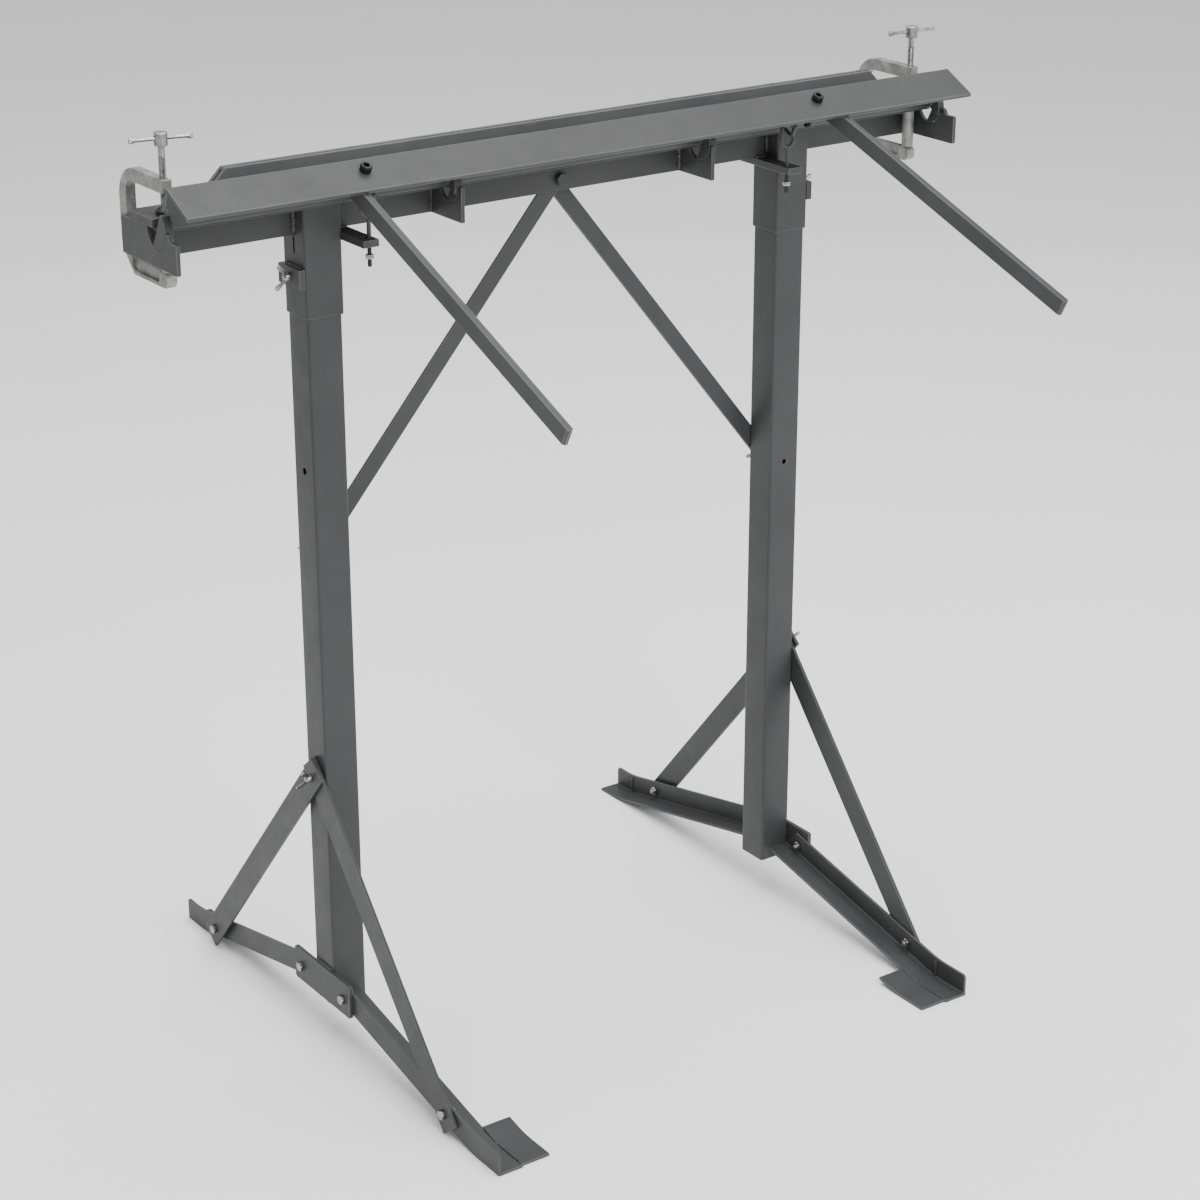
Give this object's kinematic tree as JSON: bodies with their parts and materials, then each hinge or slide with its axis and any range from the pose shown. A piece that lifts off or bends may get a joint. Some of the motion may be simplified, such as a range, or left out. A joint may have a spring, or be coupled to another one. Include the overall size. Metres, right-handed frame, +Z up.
{
  "type": "sheet metal bending brake with folding stand",
  "caption": "Manual sheet-metal bending brake: a hinged leaf and clamped bar on a bed, on telescopic square legs with folding braced feet.",
  "frame": {"origin": "centre of the bounding box on the floor", "axes": "+X right along the bed, +Y away from the operator, +Z up"},
  "size_m": [1.3403, 0.9946, 1.392],
  "materials": {
    "dark_grey_paint": "satin",
    "bright_zinc": "satin",
    "clamp_casting": "satin",
    "black_oxide": "satin"
  },
  "bodies": {
    "bed": {"bed_tee": "dark_grey_paint", "end_plate_left": "dark_grey_paint", "end_plate_right": "dark_grey_paint", "hinge_support_left": "dark_grey_paint", "hinge_support_right": "dark_grey_paint", "leg_sleeve_left": "dark_grey_paint", "leg_sleeve_right": "dark_grey_paint", "eye_bar_left": "dark_grey_paint", "eye_bar_right": "dark_grey_paint", "brace_bolt": "dark_grey_paint", "clamp_frame_left": "clamp_casting", "clamp_frame_right": "clamp_casting"},
    "leaf": {"leaf_angle": "dark_grey_paint", "half_moon_left_end": "dark_grey_paint", "half_moon_left_inner": "dark_grey_paint", "half_moon_right_inner": "dark_grey_paint", "half_moon_right_end": "dark_grey_paint", "leaf_staples": "dark_grey_paint", "handle_left": "dark_grey_paint", "handle_right": "dark_grey_paint", "handle_screws": "black_oxide", "handle_nuts": "black_oxide"},
    "clamp_bar": {"clamp_bar_base": "dark_grey_paint", "clamp_bar_rib_front": "dark_grey_paint", "clamp_bar_rib_rear": "dark_grey_paint", "clamp_bar_spacers": "dark_grey_paint"},
    "eye_bolt_left": {"eye_bolt_left": "dark_grey_paint"},
    "eye_bolt_right": {"eye_bolt_right": "dark_grey_paint"},
    "clamp_pad_left": {"clamp_pad_left": "black_oxide"},
    "clamp_screw_left": {"clamp_screw_left": "bright_zinc"},
    "tommy_bar_left": {"tommy_bar_left": "bright_zinc"},
    "clamp_pad_right": {"clamp_pad_right": "black_oxide"},
    "clamp_screw_right": {"clamp_screw_right": "bright_zinc"},
    "tommy_bar_right": {"tommy_bar_right": "bright_zinc"},
    "leg_left": {"leg_tube_left": "dark_grey_paint", "foot_bracket_left": "dark_grey_paint", "foot_pivot_bolts_left": "bright_zinc"},
    "foot_front_left": {"foot_arm_front_left": "dark_grey_paint", "brace_bolt_front_left": "bright_zinc"},
    "foot_brace_front_left": {"foot_brace_front_left": "dark_grey_paint"},
    "foot_rear_left": {"foot_arm_rear_left": "dark_grey_paint", "brace_bolt_rear_left": "bright_zinc"},
    "foot_brace_rear_left": {"foot_brace_rear_left": "dark_grey_paint"},
    "foot_wing_screw_left": {"foot_wing_screw_left": "bright_zinc"},
    "sleeve_wing_screw_left": {"sleeve_wing_screw_left": "bright_zinc"},
    "bed_brace_left": {"bed_brace_left": "dark_grey_paint"},
    "brace_wing_screw_left": {"brace_wing_screw_left": "bright_zinc"},
    "leg_right": {"leg_tube_right": "dark_grey_paint", "foot_bracket_right": "dark_grey_paint", "foot_pivot_bolts_right": "bright_zinc"},
    "foot_front_right": {"foot_arm_front_right": "dark_grey_paint", "brace_bolt_front_right": "bright_zinc"},
    "foot_brace_front_right": {"foot_brace_front_right": "dark_grey_paint"},
    "foot_rear_right": {"foot_arm_rear_right": "dark_grey_paint", "brace_bolt_rear_right": "bright_zinc"},
    "foot_brace_rear_right": {"foot_brace_rear_right": "dark_grey_paint"},
    "foot_wing_screw_right": {"foot_wing_screw_right": "bright_zinc"},
    "sleeve_wing_screw_right": {"sleeve_wing_screw_right": "bright_zinc"},
    "bed_brace_right": {"bed_brace_right": "dark_grey_paint"},
    "brace_wing_screw_right": {"brace_wing_screw_right": "bright_zinc"}
  },
  "joints": [
    {"name": "leaf_hinge", "type": "hinge", "parent": "bed", "child": "leaf", "pos_m": [0, 0.0023, 1.274], "axis": [-1, 0, 0], "range_deg": [-62.6, 32.4]},
    {"name": "eye_bolt_left_lift", "type": "slide", "parent": "bed", "child": "eye_bolt_left", "axis": [0, 0, 1], "range_m": [-0.0235, 0.0122]},
    {"name": "eye_bolt_right_lift", "type": "slide", "parent": "bed", "child": "eye_bolt_right", "axis": [0, 0, 1], "range_m": [-0.0235, 0.0122]},
    {"name": "clamp_pad_left_lift", "type": "slide", "parent": "bed", "child": "clamp_pad_left", "axis": [0, 0, 1], "range_m": [0, 0.0181]},
    {"name": "clamp_screw_left_turn", "type": "hinge", "parent": "clamp_pad_left", "child": "clamp_screw_left", "pos_m": [-0.628, 0.0273, 1.334], "axis": [0, 0, 1], "range_deg": [0, 4325]},
    {"name": "tommy_bar_left_slide", "type": "slide", "parent": "clamp_screw_left", "child": "tommy_bar_left", "axis": [-0.9848, 0.1736, 0], "range_m": [-0.0235, 0.0235]},
    {"name": "clamp_pad_right_lift", "type": "slide", "parent": "bed", "child": "clamp_pad_right", "axis": [0, 0, 1], "range_m": [0, 0.0181]},
    {"name": "clamp_screw_right_turn", "type": "hinge", "parent": "clamp_pad_right", "child": "clamp_screw_right", "pos_m": [0.628, 0.0273, 1.334], "axis": [0, 0, 1], "range_deg": [0, 4325]},
    {"name": "tommy_bar_right_slide", "type": "slide", "parent": "clamp_screw_right", "child": "tommy_bar_right", "axis": [-0.9982, 0.0593, 0], "range_m": [-0.0235, 0.0235]},
    {"name": "clamp_bar_lift", "type": "slide", "parent": "bed", "child": "clamp_bar", "axis": [0, 0, 1], "range_m": [0, 0.018]},
    {"name": "leg_left_extend", "type": "slide", "parent": "bed", "child": "leg_left", "axis": [0, 0, -1], "range_m": [0, 0.1]},
    {"name": "foot_front_left_fold", "type": "hinge", "parent": "leg_left", "child": "foot_front_left", "pos_m": [-0.4253, -0.0082, 0.089], "axis": [-1, 0, 0], "range_deg": [0, 100]},
    {"name": "foot_brace_front_left_fold", "type": "hinge", "parent": "foot_front_left", "child": "foot_brace_front_left", "pos_m": [-0.4253, -0.2797, 0.033], "axis": [-1, 0, 0], "range_deg": [-140.5, 0]},
    {"name": "foot_rear_left_fold", "type": "hinge", "parent": "leg_left", "child": "foot_rear_left", "pos_m": [-0.4253, 0.1128, 0.089], "axis": [1, 0, 0], "range_deg": [0, 100]},
    {"name": "foot_brace_rear_left_fold", "type": "hinge", "parent": "foot_rear_left", "child": "foot_brace_rear_left", "pos_m": [-0.4253, 0.3843, 0.033], "axis": [1, 0, 0], "range_deg": [-140.5, 0]},
    {"name": "foot_wing_screw_left_turn", "type": "hinge", "parent": "foot_brace_rear_left", "child": "foot_wing_screw_left", "pos_m": [-0.4358, 0.0523, 0.425], "axis": [-1, 0, 0], "continuous": true},
    {"name": "sleeve_wing_screw_left_turn", "type": "hinge", "parent": "bed", "child": "sleeve_wing_screw_left", "pos_m": [-0.44, 0.0523, 1.1675], "axis": [-1, 0, 0], "continuous": true},
    {"name": "bed_brace_left_swing", "type": "hinge", "parent": "bed", "child": "bed_brace_left", "pos_m": [0, 0.0587, 1.2407], "axis": [0, -1, 0], "range_deg": [0, 35]},
    {"name": "brace_wing_screw_left_turn", "type": "hinge", "parent": "bed_brace_left", "child": "brace_wing_screw_left", "pos_m": [-0.40025, 0.08267, 0.74543], "axis": [0.0261, 0.9991, 0.0323], "continuous": true},
    {"name": "leg_right_extend", "type": "slide", "parent": "bed", "child": "leg_right", "axis": [0, 0, -1], "range_m": [0, 0.1]},
    {"name": "foot_front_right_fold", "type": "hinge", "parent": "leg_right", "child": "foot_front_right", "pos_m": [0.4253, -0.0082, 0.089], "axis": [-1, 0, 0], "range_deg": [0, 100]},
    {"name": "foot_brace_front_right_fold", "type": "hinge", "parent": "foot_front_right", "child": "foot_brace_front_right", "pos_m": [0.4253, -0.2797, 0.033], "axis": [-1, 0, 0], "range_deg": [-140.5, 0]},
    {"name": "foot_rear_right_fold", "type": "hinge", "parent": "leg_right", "child": "foot_rear_right", "pos_m": [0.4253, 0.1128, 0.089], "axis": [1, 0, 0], "range_deg": [0, 100]},
    {"name": "foot_brace_rear_right_fold", "type": "hinge", "parent": "foot_rear_right", "child": "foot_brace_rear_right", "pos_m": [0.4253, 0.3843, 0.033], "axis": [1, 0, 0], "range_deg": [-140.5, 0]},
    {"name": "foot_wing_screw_right_turn", "type": "hinge", "parent": "foot_brace_rear_right", "child": "foot_wing_screw_right", "pos_m": [0.4358, 0.0523, 0.425], "axis": [1, 0, 0], "continuous": true},
    {"name": "sleeve_wing_screw_right_turn", "type": "hinge", "parent": "bed", "child": "sleeve_wing_screw_right", "pos_m": [0.44, 0.0523, 1.1675], "axis": [1, 0, 0], "continuous": true},
    {"name": "bed_brace_right_swing", "type": "hinge", "parent": "bed", "child": "bed_brace_right", "pos_m": [0, 0.0819, 1.2407], "axis": [0, 1, 0], "range_deg": [-27, 35]},
    {"name": "brace_wing_screw_right_turn", "type": "hinge", "parent": "bed_brace_right", "child": "brace_wing_screw_right", "pos_m": [0.4006, 0.0794, 0.745], "axis": [0, 1, 0], "continuous": true}
  ],
  "couplings": [
    {"joint": "eye_bolt_left_lift", "follows": "leaf_hinge", "m_per_rad": 0.021199},
    {"joint": "eye_bolt_right_lift", "follows": "leaf_hinge", "m_per_rad": 0.021199},
    {"joint": "clamp_pad_left_lift", "follows": "clamp_bar_lift", "ratio": 1},
    {"joint": "clamp_screw_left_turn", "follows": "clamp_bar_lift", "rad_per_m": 4188.8},
    {"joint": "clamp_pad_right_lift", "follows": "clamp_bar_lift", "ratio": 1},
    {"joint": "clamp_screw_right_turn", "follows": "clamp_bar_lift", "rad_per_m": 4188.8},
    {"joint": "foot_brace_front_left_fold", "follows": "foot_front_left_fold", "ratio": -1.4026},
    {"joint": "foot_brace_rear_left_fold", "follows": "foot_rear_left_fold", "ratio": -1.4026},
    {"joint": "foot_brace_front_right_fold", "follows": "foot_front_right_fold", "ratio": -1.4026},
    {"joint": "foot_brace_rear_right_fold", "follows": "foot_rear_right_fold", "ratio": -1.4026}
  ]
}
